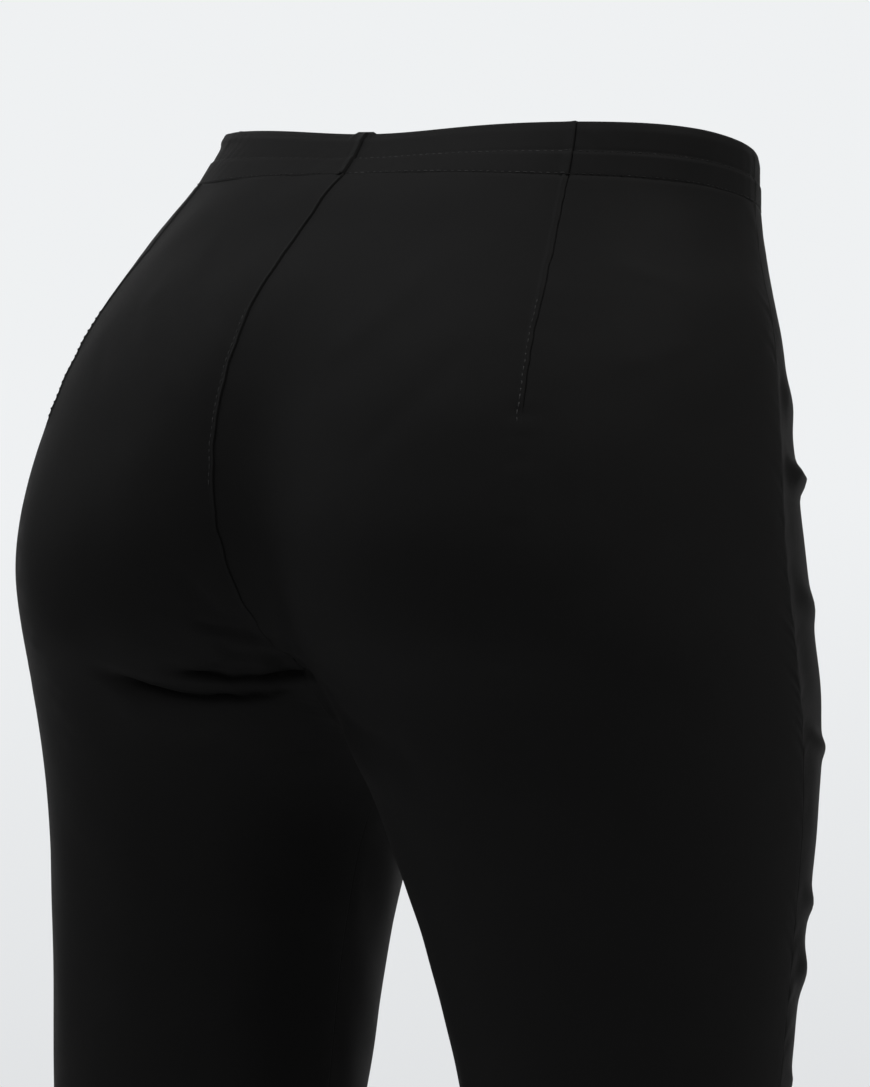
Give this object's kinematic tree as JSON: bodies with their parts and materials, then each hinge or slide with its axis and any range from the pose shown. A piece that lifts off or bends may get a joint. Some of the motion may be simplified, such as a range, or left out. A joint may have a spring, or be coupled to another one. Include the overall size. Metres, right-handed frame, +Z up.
{
  "type": "capri pants",
  "caption": "Slim pull-on capri trousers in a worn, hollow shape, with back darts and a narrow stitched elastic waist casing.",
  "frame": {"origin": "centre of the waist opening, level with its top edge at the two sides", "axes": "+Z up out of the waist, -Y to the front of the garment, +X to the wearer's left"},
  "size_m": [0.3641, 0.2503, 0.7669],
  "materials": {
    "cloth": "close plain stretch weave, near black, faint sheen",
    "casing_cloth": "the same cloth, doubled over elastic and stitched in two rows",
    "thread": "matching polyester sewing thread"
  },
  "bodies": {
    "root": {"back_left": "cloth", "back_right": "cloth", "front_left": "cloth", "front_right": "cloth", "waist_casing_back_left": "casing_cloth", "waist_casing_back_right": "casing_cloth", "waist_casing_front_left": "casing_cloth", "waist_casing_front_right": "casing_cloth"}
  },
  "joints": []
}
